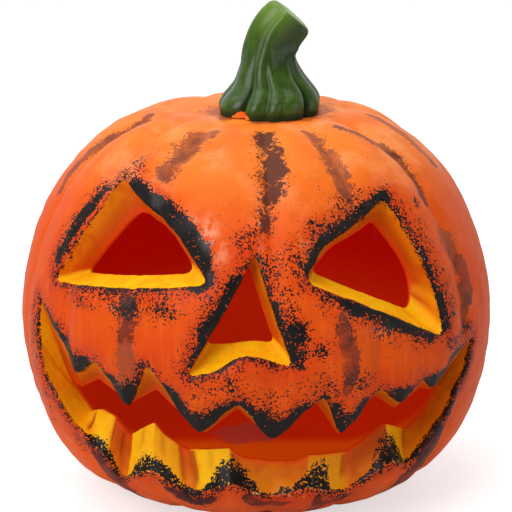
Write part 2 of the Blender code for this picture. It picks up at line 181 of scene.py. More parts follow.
# Sponged patches away from the edges: bearing, height, half width, half height, strength
SOOT_PATCHES = (
    (9.2, 78.0, 4.6, 5.6, 1.15), (9.8, 70.0, 3.6, 5.5, 0.72), (6.5, 87.0, 6.5, 9.0, 0.5),
    (4.0, 98.0, 7.5, 7.0, 0.42), (-2.5, 106.0, 6.5, 6.0, 0.36), (13.5, 96.0, 6.0, 6.0, 0.34),
    (-5.0, 62.0, 9.0, 7.0, 0.26), (1.0, 57.0, 13.0, 6.0, 0.22), (15.0, 72.5, 4.5, 3.6, 0.55),
    (52.0, 112.5, 2.6, 1.8, 0.8), (54.0, 78.0, 3.4, 5.0, 0.6), (-9.5, 86.0, 4.5, 7.0, 0.56),
    (-22.0, 84.0, 9.0, 4.0, 0.46), (-32.0, 83.0, 7.0, 4.5, 0.52), (-45.0, 82.0, 9.0, 3.0, 0.36),
    (53.0, 66.0, 6.0, 3.0, 0.6), (60.0, 68.0, 6.0, 3.0, 0.66), (-68.0, 62.0, 4.0, 20.0, 0.38),
    (-63.0, 40.0, 4.0, 10.0, 0.36), (-53.0, 29.0, 4.0, 6.0, 0.32), (-12.0, 58.5, 7.0, 5.0, 0.26),
    (14.0, 60.0, 9.0, 6.0, 0.24), (24.0, 60.0, 8.0, 5.0, 0.34), (-49.8, 61.0, 4.5, 4.5, 1.1),
    (-55.5, 70.0, 4.0, 4.0, 0.7), (-32.6, 52.4, 4.6, 5.0, 1.2), (-14.6, 46.4, 6.4, 5.6, 1.15),
    (3.4, 44.4, 6.6, 5.8, 1.1), (21.6, 45.4, 4.6, 5.6, 0.95), (37.4, 52.4, 6.0, 3.6, 1.05),
    (49.0, 55.0, 4.6, 3.4, 0.9), (54.0, 30.0, 3.6, 7.0, 0.72), (51.5, 25.0, 3.6, 5.0, 0.55),
    (28.5, 115.5, 9.0, 4.0, 0.5), (16.5, 109.5, 6.0, 4.5, 0.52), (-57.5, 100.0, 4.0, 9.0, 0.5),
    (-43.0, 124.0, 7.0, 3.6, 0.5), (9.3, 101.0, 4.5, 6.0, 0.46), (-17.6, 14.6, 7.0, 2.6, 0.6),
)

# Pale patches, in the same way: partly paint brushed thinly on, partly painted sheen where the skin faces
# the light
PALE_PATCHES = (
    (-19.5, 111.5, 8.0, 3.0, 0.4), (-12.5, 109.0, 5.0, 5.0, 0.48), (-8.5, 103.0, 4.0, 5.0, 0.32),
    (1.2, 112.0, 1.6, 14.0, 0.35), (12.5, 106.0, 3.0, 5.0, 0.2), (-33.0, 82.0, 7.0, 2.5, 0.25),
    (30.0, 76.0, 8.0, 3.0, 0.15), (-30.0, 122.0, 9.0, 6.0, 0.15),
)

# Brown strokes: half width, darkness, then the stroke's line as (bearing, height)
STROKES = (
    (3.6, 1.0, ((4.2, 135.2), (4.5, 134.2), (5.4, 131.8), (5.5, 127.0), (4.8, 121.6), (3.6, 116.0))),
    (2.8, 1.0, ((5.6, 121.0), (4.4, 118.0), (3.2, 114.0), (2.6, 110.0))),
    (3.8, 0.66, (
        (-25.0, 134.9), (-28.0, 134.2), (-29.4, 132.4), (-29.8, 130.0), (-30.6, 127.2), (-32.2, 124.0),
    )),
    (2.2, 0.66, (
        (-82.0, 134.9), (-78.0, 134.0), (-76.0, 132.4), (-77.0, 129.4), (-79.6, 124.0), (-81.0, 118.0),
        (-80.0, 109.0),
    )),
    (3.0, 0.66, ((29.0, 134.6), (28.8, 130.0), (28.8, 124.0), (29.4, 117.6))),
    (2.2, 0.84, ((47.0, 134.8), (56.0, 131.4), (60.0, 125.0), (59.0, 119.0), (57.6, 111.5))),
    (1.8, 0.6, ((84.0, 134.6), (80.0, 131.0), (78.0, 126.0), (77.0, 119.0))),
    (3.2, 0.55, ((58.5, 102.0), (60.0, 97.0), (61.0, 93.0))),
    (3.0, 0.72, ((61.5, 92.0), (63.0, 84.0), (62.0, 76.0), (60.0, 71.0))),
    (3.2, 0.95, ((-32.0, 84.8), (-31.8, 78.0), (-32.0, 71.0))),
    (2.8, 0.58, ((-31.8, 73.0), (-32.0, 62.0), (-32.4, 54.0))),
    (2.4, 0.8, ((20.4, 83.0), (20.8, 77.0), (22.4, 69.0))),
    (2.2, 0.8, ((23.0, 70.0), (22.0, 64.0), (21.0, 58.0))),
    (3.6, 0.9, ((-46.0, 25.0), (-43.6, 18.0), (-42.0, 12.0), (-40.5, 8.0))),
    (2.4, 1.0, ((-25.0, 17.4), (-20.5, 14.6), (-17.0, 13.6), (-12.5, 16.0))),
    (4.4, 0.84, ((54.6, 32.0), (52.0, 23.0), (48.6, 14.0), (46.0, 9.0))),
    (1.8, 0.85, ((-2.6, 17.0), (0.6, 13.6), (4.0, 12.8), (9.0, 14.2))),
    (2.0, 0.9, ((17.6, 15.6), (19.0, 12.0), (22.5, 12.6), (28.5, 13.4))),
    (1.6, 0.6, ((19.0, 12.0), (18.8, 6.0))),
    (2.8, 0.6, ((104.0, 133.0), (105.0, 122.0), (103.0, 106.0), (104.0, 92.0))),
    (2.6, 0.6, ((104.0, 58.0), (103.0, 44.0), (104.0, 30.0))),
    (2.6, 0.62, ((131.0, 134.0), (129.0, 124.0), (130.0, 112.0))),
    (2.6, 0.55, ((130.0, 74.0), (131.0, 56.0), (130.0, 44.0))),
    (2.8, 0.66, ((156.0, 133.5), (154.0, 121.0), (155.0, 104.0), (155.5, 90.0))),
    (2.5, 0.5, ((155.0, 48.0), (154.0, 30.0), (155.0, 18.0))),
    (2.8, 0.62, ((180.0, 134.0), (181.0, 122.0), (179.0, 110.0))),
    (2.6, 0.58, ((180.0, 78.0), (179.0, 60.0), (180.5, 44.0))),
    (2.6, 0.62, ((-148.0, 134.0), (-149.0, 122.0), (-147.0, 104.0))),
    (2.6, 0.52, ((-148.0, 62.0), (-149.0, 46.0), (-147.0, 26.0))),
    (2.8, 0.62, ((-111.0, 133.5), (-109.0, 121.0), (-110.0, 106.0), (-111.0, 94.0))),
    (2.6, 0.56, ((-110.0, 52.0), (-109.0, 38.0), (-110.0, 20.0))),
)

# Saw kerfs left across the lower lip's wall: place along the lip on the skin and on the lining, how
# far out from the lining it runs (share of the wall), depth, which also sets the painted shade in the kerf
KERFS = (
    (3.35, 3.42, 0.8, 1.0), (4.38, 4.4, 0.7, 0.5), (4.88, 4.8, 0.85, 0.9), (6.78, 6.82, 0.9, 0.7),
    (7.1, 7.12, 0.9, 0.9), (8.35, 8.2, 0.5, 0.4), (10.95, 10.95, 0.7, 0.7), (12.9, 12.85, 0.6, 0.7),
    (5.5, 5.6, 0.5, 0.35), (6.35, 6.3, 0.6, 0.35), (7.5, 7.55, 0.6, 0.3),
)


def smooth_curve(points, count):
    """Even steps along a smooth curve through the points: cubic pieces with mean slopes."""
    points = np.array(points, float)
    reach = np.concatenate([[0.0], np.cumsum(np.linalg.norm(np.diff(points, axis=0), axis=1))])
    slopes = np.gradient(points, reach, axis=0)
    at = np.linspace(0.0, reach[-1], count)
    piece = np.clip(np.searchsorted(reach, at, side="right") - 1, 0, len(points) - 2)
    span = (reach[piece + 1] - reach[piece])[:, None]
    u = (at[:, None] - reach[piece][:, None]) / span
    return (
        (2 * u**3 - 3 * u**2 + 1) * points[piece] + (u**3 - 2 * u**2 + u) * span * slopes[piece]
        + (3 * u**2 - 2 * u**3) * points[piece + 1] + (u**3 - u**2) * span * slopes[piece + 1]
    )


PROFILE = smooth_curve(SKIN_PROFILE, 801)
ARCS = np.concatenate([[0.0], np.cumsum(np.linalg.norm(np.diff(PROFILE, axis=0), axis=1))])
along = np.gradient(PROFILE, axis=0)
OUTWARD = np.stack([along[:, 1], -along[:, 0]], axis=1)
OUTWARD /= np.linalg.norm(OUTWARD, axis=1)[:, None]
LINING_PROFILE = PROFILE - WALL * OUTWARD


def arc_of(height, profile=PROFILE):
    """The arc at which the rising part of a profile reaches a height."""
    rising = np.argmax(profile[:, 1])
    return np.interp(height, profile[:rising, 1], ARCS[:rising])


def on_shell(bearing, arc, depth=0.0):
    """Points at a bearing and an arc, some depth straight under the smooth skin."""
    radius = np.interp(arc, ARCS, PROFILE[:, 0]) - depth * np.interp(arc, ARCS, OUTWARD[:, 0])
    height = np.interp(arc, ARCS, PROFILE[:, 1]) - depth * np.interp(arc, ARCS, OUTWARD[:, 1])
    angle = np.radians(bearing)
    return np.stack([radius * np.sin(angle), -radius * np.cos(angle), height], axis=-1)


def lumps(points, size, seed, waves=16):
    """Soft lumps, mostly between -1 and 1: a sum of sine waves of about one length in random directions."""
    rng = np.random.default_rng(seed)
    ways = rng.normal(size=(waves, 3))
    ways *= (rng.uniform(0.7, 1.4, waves) * 2.0 * np.pi / size / np.linalg.norm(ways, axis=1))[:, None]
    starts = rng.uniform(0.0, 2.0 * np.pi, waves)
    return np.sin(points @ ways.T + starts).sum(axis=-1) / math.sqrt(waves)


def smooth_step(low, high, value):
    """Rises from 0 at low to 1 at high without a corner."""
    u = np.clip((value - low) / (high - low), 0.0, 1.0)
    return u * u * (3.0 - 2.0 * u)


# ---- outlines of the cuts ----------------------------------------------------------------------


def even_samples(line, spacing):
    """Indices into a fine polyline, an even spacing apart along it."""
    reach = np.concatenate([[0.0], np.cumsum(np.linalg.norm(np.diff(line, axis=0), axis=1))])
    wanted = np.linspace(0.0, reach[-1], max(4, int(reach[-1] / spacing)) + 1)
    return np.searchsorted(reach, wanted[:-1])


def rounded_outline(corners, steps):
    """A closed line round the corners: straight sides, and a quadratic curve at each corner. Every side
    and every corner has the same number of steps, so two outlines of a cut go together point by point."""
    flat = np.array([(bearing * DEGREE, height) for bearing, height, _ in corners])
    parts = []
    for i in range(len(corners)):
        before, corner, after = flat[i - 1], flat[i], flat[(i + 1) % len(flat)]
        cut = corners[i][2]
        start = corner + cut * (before - corner) / np.linalg.norm(before - corner)
        end = corner + cut * (after - corner) / np.linalg.norm(after - corner)
        beyond = corners[(i + 1) % len(corners)][2]
        leave = after + beyond * (corner - after) / np.linalg.norm(corner - after)
        t = np.linspace(0.0, 1.0, steps, endpoint=False)[:, None]
        parts += [(1 - t) ** 2 * start + 2 * t * (1 - t) * corner + t**2 * end, end + (leave - end) * t]
    line = np.concatenate(parts)
    return np.stack([line[:, 0] / DEGREE, line[:, 1]], axis=1)


def knife_cut(skin, lining, seed):
    """Outlines on the skin and the lining as (bearing, arc), with the small waves of a knife's path."""
    place = np.stack([skin[:, 0] * DEGREE, skin[:, 1], 0.0 * skin[:, 0]], axis=1)
    for line, amount in ((skin, 0.14), (lining, 0.06)):
        line[:, 0] += amount * lumps(place, 7.0, seed) / DEGREE
        line[:, 1] += amount * lumps(place, 6.0, seed + 1)
    return (
        np.stack([skin[:, 0], arc_of(skin[:, 1])], axis=1),
        np.stack([lining[:, 0], arc_of(lining[:, 1], LINING_PROFILE)], axis=1),
    )


def hole_outlines(corners_skin, corners_lining, seed):
    """Matching outlines of an eye or the nose on the skin and the lining."""
    skin = rounded_outline(corners_skin, 240)
    lining = rounded_outline(corners_lining, 240)
    pick = even_samples(skin * (DEGREE, 1.0), EDGE_STEP)
    return knife_cut(skin[pick], lining[pick], seed)


def lip_lines(turns_skin, turns_lining, count=6000):
    """Fine lines of a lip: on the skin the height eases level at every turn, on the lining it runs
    straight from turn to turn with each turn a little blunted."""
    place = np.linspace(0.0, len(turns_skin) - 1.0, count)
    turns = np.array(turns_skin)
    piece = np.clip(place.astype(int), 0, len(turns) - 2)
    u = place - piece
    ease = u * u * (3.0 - 2.0 * u) * 0.75 + 0.25 * u
    bearing = turns[piece, 0] * (1 - u) + turns[piece + 1, 0] * u
    height = turns[piece, 1] * (1 - ease) + turns[piece + 1, 1] * ease
    inner = np.array(turns_lining)
    blunt = np.linspace(-0.05, 0.05, 7)
    spread = [np.interp(place[:, None] + blunt, inner[:, 0], inner[:, k]).mean(axis=1) for k in (1, 2)]
    return place, np.stack([bearing, height], axis=1), np.stack(spread, axis=1)


def mouth_outlines():
    """Matching outlines of the mouth, counter-clockwise from the left corner along the lower lip and back
    along the upper one, with each point's place along its lip (upper: negative)."""
    sides = []
    for turns, inner, sign in ((LOWER_LIP, LOWER_LINING, 1.0), (UPPER_LIP, UPPER_LINING, -1.0)):
        place, skin, lining = lip_lines(turns, inner)
        pick = np.append(even_samples(skin * (DEGREE, 1.0), EDGE_STEP), len(place) - 1)
        pick = pick if sign > 0 else pick[::-1]
        sides.append((sign * place[pick], skin[pick], lining[pick]))
    place, skin, lining = (np.concatenate(both) for both in zip(*sides))
    return *knife_cut(skin, lining, 31), place


def inside_outline(points, outline):
    """Which flat points lie inside a closed outline: an odd number of its sides pass to their right."""
    x, y = points[:, :1], points[:, 1:]
    x0, y0 = outline[None, :, 0], outline[None, :, 1]
    x1, y1 = np.roll(x0, -1, axis=1), np.roll(y0, -1, axis=1)
    rise = np.where(y1 == y0, 1e-9, y1 - y0)
    crossing = ((y0 > y) != (y1 > y)) & (x < x0 + (y - y0) * (x1 - x0) / rise)
    return crossing.sum(axis=1) % 2 == 1


def nearest_distance(points, others):
    """Distance from each point to the nearest of the others."""
    best = np.empty(len(points))
    for start in range(0, len(points), 2500):
        part = points[start:start + 2500]
        squares = (part**2).sum(axis=1)[:, None] + (others**2).sum(axis=1)[None, :] - 2.0 * part @ others.T
        best[start:start + 2500] = np.sqrt(np.maximum(squares.min(axis=1), 0.0))
    return best


def cells_to_cut(flat, shape, outlines, clearance):
    """Which cells of a closed grid have a corner inside an outline or near one."""
    every = np.concatenate(outlines)
    low, high = every.min(axis=0) - 4.0, every.max(axis=0) + 4.0
    candidates = np.flatnonzero(((flat > low) & (flat < high)).all(axis=1))
    near = np.zeros(len(flat), bool)
    near[candidates] = nearest_distance(flat[candidates], every) < clearance
    for outline in outlines:
        near[candidates] |= inside_outline(flat[candidates], outline)
    near = near.reshape(shape)
    near |= np.roll(near, -1, axis=1)
    return near[:-1] | near[1:]


def border_edges(gone, index):
    """The grid's edges between the cells that stay and those that go, as pairs of point numbers."""
    i, j = np.nonzero(gone[1:] != gone[:-1])
    level = np.stack([index[i + 1, j], index[i + 1, (j + 1) % index.shape[1]]], axis=1)
    i, j = np.nonzero(gone != np.roll(gone, 1, axis=1))
    return np.concatenate([level, np.stack([index[i, j], index[i + 1, j]], axis=1)])


def rows_round(outlines, margins):
    """Rows of points round each outline, at margins outside it, where no outline comes nearer."""
    every = np.concatenate(outlines)
    rows = []
    for outline in outlines:
        way = np.roll(outline, -1, axis=0) - np.roll(outline, 1, axis=0)
        outward = np.stack([way[:, 1], -way[:, 0]], axis=1) / np.linalg.norm(way, axis=1)[:, None]
        for margin in margins:
            row = outline + margin * outward
            keep = nearest_distance(row, every) > 0.85 * margin
            for other in outlines:
                keep &= ~inside_outline(row, other)
            rows.append(row[keep])
    return rows


def trimmed_sheet(columns, rows, outlines, clearance, margins):
    """A grid of bearings that close round the body and arcs, with the outlines cut out of it. Cells near
    an outline give way to a Delaunay filling that meets the grid and the outline point by point.
    Returns (bearing, arc) points, quads, triangles, each outline's first point, and the grid's points."""
    across, up = len(columns), len(rows)
    scale = np.array([DEGREE, 1.0])
    grid = np.stack(np.meshgrid(columns, rows), axis=-1).reshape(-1, 2)
    cuts = [outline * scale for outline in outlines]
    index = np.arange(up * across).reshape(up, across)
    gone = cells_to_cut(grid * scale, index.shape, cuts, clearance)
    i, j = np.nonzero(~gone)
    k = (j + 1) % across
    quads = np.stack([index[i, j], index[i, k], index[i + 1, k], index[i + 1, j]], axis=1)

    border_points, border = np.unique(border_edges(gone, index), return_inverse=True)
    edges = [border.reshape(-1, 2)]
    bounds = len(border_points) + np.cumsum([0] + [len(cut) for cut in cuts])
    for start, end in zip(bounds[:-1], bounds[1:]):
        ring = np.arange(start, end)
        edges.append(np.stack([ring, np.roll(ring, -1)], axis=1))
    filling = np.concatenate([(grid * scale)[border_points], *cuts, *rows_round(cuts, margins)])
    _, _, faces, sources, _, _ = delaunay_2d_cdt(
        filling.tolist(), np.concatenate(edges).tolist(), [], 0, 1e-5
    )
    first = np.array([source[0] if source else -1 for source in sources])
    triangles = first[np.array([face for face in faces if len(face) == 3])]
    triangles = triangles[(triangles >= 0).all(axis=1)]
    middle = filling[triangles].mean(axis=1)
    column = np.clip(np.searchsorted(columns, middle[:, 0] / DEGREE, side="right") - 1, 0, across - 1)
    row = np.clip(np.searchsorted(rows, middle[:, 1], side="right") - 1, 0, up - 2)
    keep = gone[row, column]
    for cut in cuts:
        keep &= ~inside_outline(middle, cut)

    used = np.zeros(up * across, bool)
    used[quads.ravel()] = True
    used[border_points] = True
    renumber = np.cumsum(used) - 1
    offset = used.sum() - len(border_points)
    target = np.concatenate([renumber[border_points], offset + np.arange(len(border_points), len(filling))])
    points = np.concatenate([grid[used], filling[len(border_points):] / scale])
    return points, renumber[quads], target[triangles[keep]], bounds[:-1] + offset, renumber[index]


# ---- the skin's relief and paint ---------------------------------------------------------------


def from_stations(flat, stations):
    """Values at flat (along, up) points: means of the stations' values, weighted by one over the distance
    to the fifth power."""
    table = np.array(stations)
    spots = table[:, :2] * (DEGREE, 1.0)
    squares = ((flat[:, None, :] - spots[None, :, :]) ** 2).sum(axis=-1) + 2.0
    weights = squares**-2.5
    return (weights @ table[:, 2:]) / weights.sum(axis=1)[:, None]


def between_grooves(bearing, grooves):
    """Where a bearing lies among the grooves round a body: the number of the groove before it, the share
    of the way to the next one, and the degrees from one to the other."""
    edges = np.append(grooves, grooves[0] + 360.0)
    turned = (bearing - edges[0]) % 360.0 + edges[0]
    before = np.clip(np.searchsorted(edges, turned, side="right") - 1, 0, len(grooves) - 1)
    span = edges[before + 1] - edges[before]
    return before, (turned - edges[before]) / span, span


def rib_relief(bearing, arc):
    """Depth of the skin between its ribs: a broad root-of-sine hollow and a narrow crease at each groove,
    both fading out towards the seat and the base."""
    _, step, span = between_grooves(bearing, np.array(GROOVES))
    radius = np.interp(arc, ARCS, PROFILE[:, 0])
    gap = np.minimum(step, 1.0 - step) * np.radians(span) * radius
    broad = RIB_DEPTH * (1.0 - np.sin(np.pi * np.clip(step, 0.0, 1.0)) ** 0.6)
    fade = np.clip((radius - SEAT_RADIUS) / 16.0, 0.0, 1.0) * (0.55 + 0.45 * smooth_step(20.0, 40.0, arc))
    return (broad + CREASE_DEPTH * np.exp(-((gap / CREASE_WIDTH) ** 2))) * fade


def stroke_density(points):
    """How much brown lies at points of the skin, 0.5 at a stroke's ragged edge, and how dark it is: a soft
    band round each stroke's line that narrows towards both ends."""
    density, tone = np.full(len(points), NO_STROKE), np.zeros(len(points))
    for half, dark, line in STROKES:
        bearings, heights = smooth_curve(line, 40).T
        spots = on_shell(bearings, arc_of(np.minimum(heights, STROKE_TOP)))
        gap = np.sqrt(((points[:, None, :] - spots[None]) ** 2).sum(axis=-1))
        share = gap.argmin(axis=1) / (len(spots) - 1.0)
        width = 1.15 * half * (0.6 + 0.4 * np.sin(np.pi * np.clip(share * 0.9 + 0.08, 0.0, 1.0)))
        here = 1.05 - 0.55 * (gap.min(axis=1) / width) ** 1.5
        tone = np.where(here > density, dark, tone)
        density = np.maximum(density, here)
    return density, tone


def patch_distance(flat, patch):
    """Distance of flat points from the middle of an elliptic patch, 1 on its edge."""
    bearing, height, half_across, half_up, _ = patch
    return np.hypot((flat[:, 0] - bearing * DEGREE) / half_across, (flat[:, 1] - height) / half_up)


def soot_density(flat, rim, start, solid, speckle):
    """How much sponged black lies at flat points, 0.5 where it covers half the skin: level across the
    solid band, falling steeply off it, then a slow fall through the speckle, and the patches."""
    past = rim - start - solid
    off_band = np.maximum(np.maximum(start - rim, past), 0.0)
    core = 0.15 + 1.1 * np.minimum(solid / 2.0, 1.0) - off_band / (0.22 * solid + 0.6)
    tail = 0.56 - 0.75 * np.maximum(past, 0.0) / np.maximum(speckle, 0.5)
    tail = np.where(rim < start, 0.36, tail)
    density = np.clip(np.maximum(core, tail), NO_SOOT, 1.25)
    for patch in SOOT_PATCHES:
        strength = patch[-1]
        fall = smooth_step(0.3, 1.7, patch_distance(flat, patch))
        density = np.maximum(density, strength - (strength + 0.5) * fall)
    return density


def pale_share(flat):
    """The strongest of the pale patches at flat points."""
    return np.max([
        patch[-1] * (1.0 - smooth_step(0.2, 1.3, patch_distance(flat, patch))) for patch in PALE_PATCHES
    ], axis=0)


# ---- meshes ------------------------------------------------------------------------------------


def steps(*stretches):
    """Values over stretches, each (start, end, step), with the last end left off."""
    return np.concatenate([
        np.linspace(start, end, max(1, int(round((end - start) / step))), endpoint=False)
        for start, end, step in stretches
    ])


def row_faces(rows):
    """Quads between rows of point numbers that close round."""
    following = np.roll(rows, -1, axis=1)
    return np.stack([rows[:-1], following[:-1], following[1:], rows[1:]], axis=-1).reshape(-1, 4)


def closed_end(ring, levels, tip, first, flip):
    """Closes a ring with levels of points inside it and a tip: the new points, numbered from first, and
    the bands and the fan between them."""
    count = len(ring)
    rows = np.concatenate([[ring], first + np.arange(len(levels) * count).reshape(-1, count)])
    last = rows[-1]
    fan = np.stack([last, np.roll(last, -1), np.full(count, first + len(levels) * count)], axis=1)
    faces = [row_faces(rows), fan]
    return np.concatenate([*levels, [tip]]), [part[:, ::-1] if flip else part for part in faces]


def mesh_piece(name, vertices, faces):
    """A new object from millimetre vertices and arrays of faces."""
    mesh = bpy.data.meshes.new(name)
    mesh.from_pydata((vertices * MM).tolist(), [], [face for part in faces for face in part.tolist()])
    mesh.validate()
    piece = bpy.data.objects.new(name, mesh)
    bpy.context.scene.collection.objects.link(piece)
    return piece


def finish_piece(piece, marks, crease_degrees):
    """Keeps the marks on the piece's points for its material, and shades it smooth between creases."""
    for name, values in marks.items():
        layer = piece.data.attributes.new(name, "FLOAT", "POINT")
        layer.data.foreach_set("value", values.astype(np.float32))
    piece.data.shade_smooth()
    piece.data.set_sharp_from_angle(angle=math.radians(crease_degrees))
    return piece


# ---- the shell ---------------------------------------------------------------------------------
#
# Each part of the shell comes with its marks, which its material reads. rim: distance along the skin to
# the nearest cut, negative on the walls. depth: share of the way through the wall. soot, stroke and pale:
# how much black, brown and pale there is, the pale partly thin paint and partly painted sheen. tone: how
# dark the brown is, or the painted shade in the walls' kerfs and shaded facets. lift: how bright the
# yellow of the walls is, painted light from which way each wall faces, on the lower lip taken from its
# table.


def marks_of(count, **given):
    """The marks of a part's points: the given ones, and no paint in the others."""
    plain = dict(rim=0.0, depth=0.0, soot=NO_SOOT, stroke=NO_STROKE, tone=0.0, pale=0.0, lift=0.0)
    return {name: np.zeros(count) + value for name, value in (plain | given).items()}


def rounding(distance, radius):
    """How far a surface drops in a quarter circle towards an edge."""
    u = np.clip(distance / radius, 0.0, 1.0)
    return radius * (1.0 - np.sqrt(1.0 - (1.0 - u) ** 2))


def make_skin(outlines):
    """The skin: points, faces, the first point of each cut's edge, the grid's point numbers and marks."""
    low, high = float(arc_of(8.0)), float(arc_of(125.0))  # the face lies between, on a finer grid
    columns = steps((-82.0, 82.0, 0.72), (82.0, 278.0, 2.4))
    rows = np.append(steps((0.0, low, 2.6), (low, high, 1.05), (high, ARCS[-1], 2.0)), ARCS[-1])
    sheet, quads, triangles, starts, index = trimmed_sheet(
        columns, rows, outlines, clearance=1.9, margins=(0.14, 0.42, 0.9, 1.5)
    )
    bearing, arc = sheet.T
    off_front = (bearing + 180.0) % 360.0 - 180.0
    front = np.abs(off_front) < 100.0
    smooth = on_shell(bearing, arc)
    rim = np.full(len(sheet), FAR_OUTSIDE)
    rim[front] = nearest_distance(smooth[front], np.concatenate([on_shell(*line.T) for line in outlines]))

    flat = np.stack([off_front * DEGREE, np.interp(arc, ARCS, PROFILE[:, 1])], axis=1)
    roll, reach, band, solid, speckle = from_stations(flat, RIM_STATIONS).T
    ribs = rib_relief(bearing, arc) * (0.35 + 0.65 * smooth_step(1.0, 9.0, rim))
    unevenness = 0.35 * (1.0 + lumps(smooth, 34.0, 3)) * 0.5 + 0.12 * lumps(smooth, 9.0, 4)
    sink = ribs + roll * np.exp(-((rim / reach) ** 1.6)) + rounding(rim, FILLET) + SKIN_SINK + unevenness
    ends = np.clip((ARCS[-1] - arc) / 6.0, 0.0, 1.0) * np.clip(arc / 6.0, 0.0, 1.0)
    stroke, tone = stroke_density(smooth)
    marks = marks_of(
        len(sheet), rim=rim, soot=soot_density(flat, rim, band, solid, speckle), stroke=stroke, tone=tone,
        pale=pale_share(flat),
    )
    return on_shell(bearing, arc, sink * ends), [quads, triangles], starts, index, marks


def make_lining(outlines):
    """The lining, in the same way: one wall under the skin, rounded over into each cut."""
    columns = steps((-80.0, 80.0, 1.8), (80.0, 280.0, 5.0))
    rows = np.append(steps((ARCS[0], ARCS[-1], 2.6)), ARCS[-1])
    sheet, quads, triangles, starts, index = trimmed_sheet(
        columns, rows, outlines, clearance=2.4, margins=(0.25, 0.7, 1.4)
    )
    plain = on_shell(*sheet.T, WALL)
    rim = nearest_distance(plain, np.concatenate([on_shell(*line.T, WALL) for line in outlines]))
    unevenness = 0.3 * smooth_step(0.0, 6.0, rim) * lumps(plain, 16.0, 5)
    points = on_shell(*sheet.T, WALL - rounding(rim, INNER_FILLET) + unevenness)
    marks = marks_of(len(sheet), rim=FAR_INSIDE, depth=1.0 + np.minimum(rim, 12.0) / 10.0)
    return points, [quads[:, ::-1], triangles[:, ::-1]], starts, index, marks


def kerf_strengths(place, half_width):
    """How strong each kerf is over the lip's wall, from 0 to its depth: a bell across its line."""
    across = ACROSS_WALL[:, None]
    for outer_place, inner_place, share, depth in KERFS:
        line = outer_place + (inner_place - outer_place) * across
        gap = np.abs(place[None, :] - line) * TURN_LENGTH
        fade = np.clip((across - (1.0 - share)) / 0.2, 0.0, 1.0)
        yield depth * fade * np.exp(-((gap / half_width) ** 2))


def make_wall(outer_edge, inner_edge, edge_soot, number, place):
    """A cut's wall between its edges on the skin and the lining, row by row inwards: points and marks. A
    place along the lips is given for the mouth, whose lower lip has its kerfs and a paint of its own, with
    painted shade in the kerfs and on its shaded facets."""
    across = ACROSS_WALL[:, None]
    wall = outer_edge[None] * (1.0 - across[:, :, None]) + inner_edge[None] * across[:, :, None]
    round_way = np.roll(wall, -1, axis=1) - np.roll(wall, 1, axis=1)
    into_hole = np.cross(round_way, (inner_edge - outer_edge)[None])
    into_hole /= np.maximum(np.linalg.norm(into_hole, axis=2), 1e-6)[:, :, None]
    rough = 0.10 * lumps(wall, 6.0, 20 + number) + 0.05 * lumps(wall, 2.2, 30 + number)
    belly = np.sin(np.pi * across)
    relief = belly**0.5 * rough - 0.4 * belly

    down = across * np.linalg.norm(inner_edge - outer_edge, axis=1)[None, :]
    # Painted light: a wall that faces up, or towards -X where the key light stands, is painted a brighter
    # yellow.
    facing = (into_hole[:, :, 2] - 0.22 * into_hole[:, :, 0]).mean(axis=0)
    facing = sum(np.roll(facing, shift) for shift in (-2, -1, 0, 1, 2)) / 5.0
    creep = np.interp(facing, (-0.45, 0.1), (0.2, 0.6))
    black = np.minimum(edge_soot, 0.95)[None, :] - creep[None, :] * (0.5 + down)
    shade = np.zeros(down.shape)
    if place is not None:
        places, bright, reaches = np.array(LOWER_WALL).T
        lower_lip = place > 0.0
        relief = relief - sum(kerf_strengths(place, 0.55))
        spread = 1.1 - 0.6 * (down / np.interp(place, places, reaches)[None, :]) ** 2.5
        black = np.where(lower_lip[None, :], np.maximum(spread, NO_SOOT), black)
        facing = np.where(lower_lip, np.interp(place, places, bright), facing)
        # Painted shade: the lower lip's facets listed under -0.1 and its kerfs are painted darker.
        shaded = np.where(lower_lip, np.clip((-0.1 - facing) / 0.2, 0.0, 1.0), 0.0)
        shade = 0.7 * shaded[None, :] * np.clip(across * 1.6, 0.0, 1.0)
        shade = np.maximum(shade, np.max(list(kerf_strengths(place, 0.7)), axis=0))
    marks = marks_of(
        down.size, rim=-down.ravel(), depth=np.repeat(ACROSS_WALL, len(outer_edge)), soot=black.ravel(),
        tone=shade.ravel(), lift=np.tile(facing, len(ACROSS_WALL)),
    )
    return (wall + into_hole * relief[:, :, None]).reshape(-1, 3), marks


